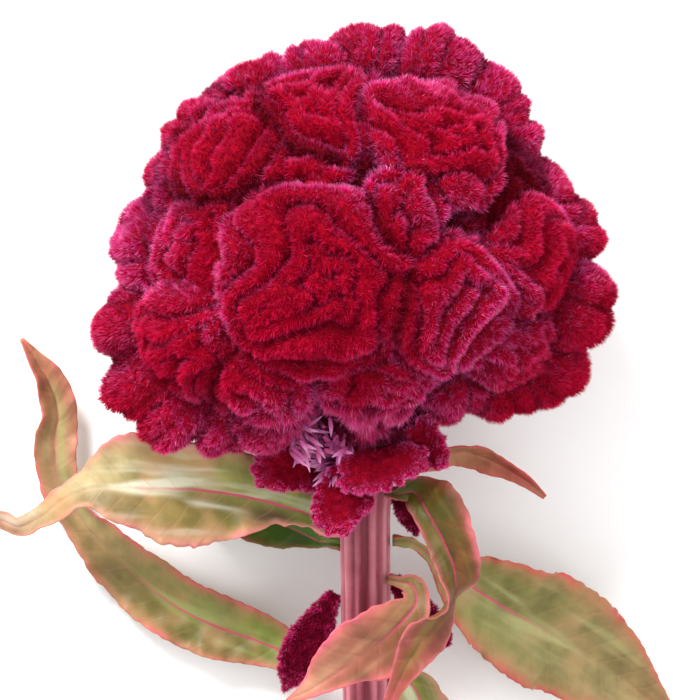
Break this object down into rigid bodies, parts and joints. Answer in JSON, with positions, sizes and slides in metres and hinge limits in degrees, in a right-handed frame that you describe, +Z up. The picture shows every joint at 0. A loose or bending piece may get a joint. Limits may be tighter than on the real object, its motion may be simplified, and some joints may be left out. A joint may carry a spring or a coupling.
{
  "type": "cockscomb celosia",
  "caption": "Cut cockscomb celosia lying on its side: a broad velvety crest of swirling folds on a ribbed stem with long waved leaves.",
  "frame": {"origin": "middle of the flat spot that the crest rests on, on the surface below", "axes": "+Z up from the surface, +Y from the cut end of the stem to the top of the crest, +X to the right of the flower"},
  "size_m": [0.1943, 0.2228, 0.0933],
  "materials": {
    "crest": "velvety",
    "side_crest": "velvety",
    "side_crest_dark": "velvety",
    "floret": "matte",
    "stem": "satin",
    "leaf": "satin",
    "leaf_rose": "satin",
    "leaf_dark": "satin",
    "leaf_russet": "satin"
  },
  "bodies": {
    "root": {"crest": "crest", "stem": "stem", "leaf_left_upper": "leaf", "leaf_left_lower": "leaf", "leaf_right_broad": "leaf", "leaf_right_narrow": "leaf_russet", "leaf_twisted": "leaf_rose", "leaf_front_low": "leaf_rose", "leaf_dark_small": "leaf_dark", "leaf_low_right": "leaf", "leaf_under_left": "leaf", "side_crest_right": "side_crest", "side_crest_front": "side_crest", "side_crest_tongue": "side_crest", "side_crest_left": "side_crest", "side_crest_behind": "side_crest_dark", "side_crest_low_left": "side_crest_dark", "side_crest_low_right": "side_crest_dark", "floret_cluster": "floret"}
  },
  "joints": []
}
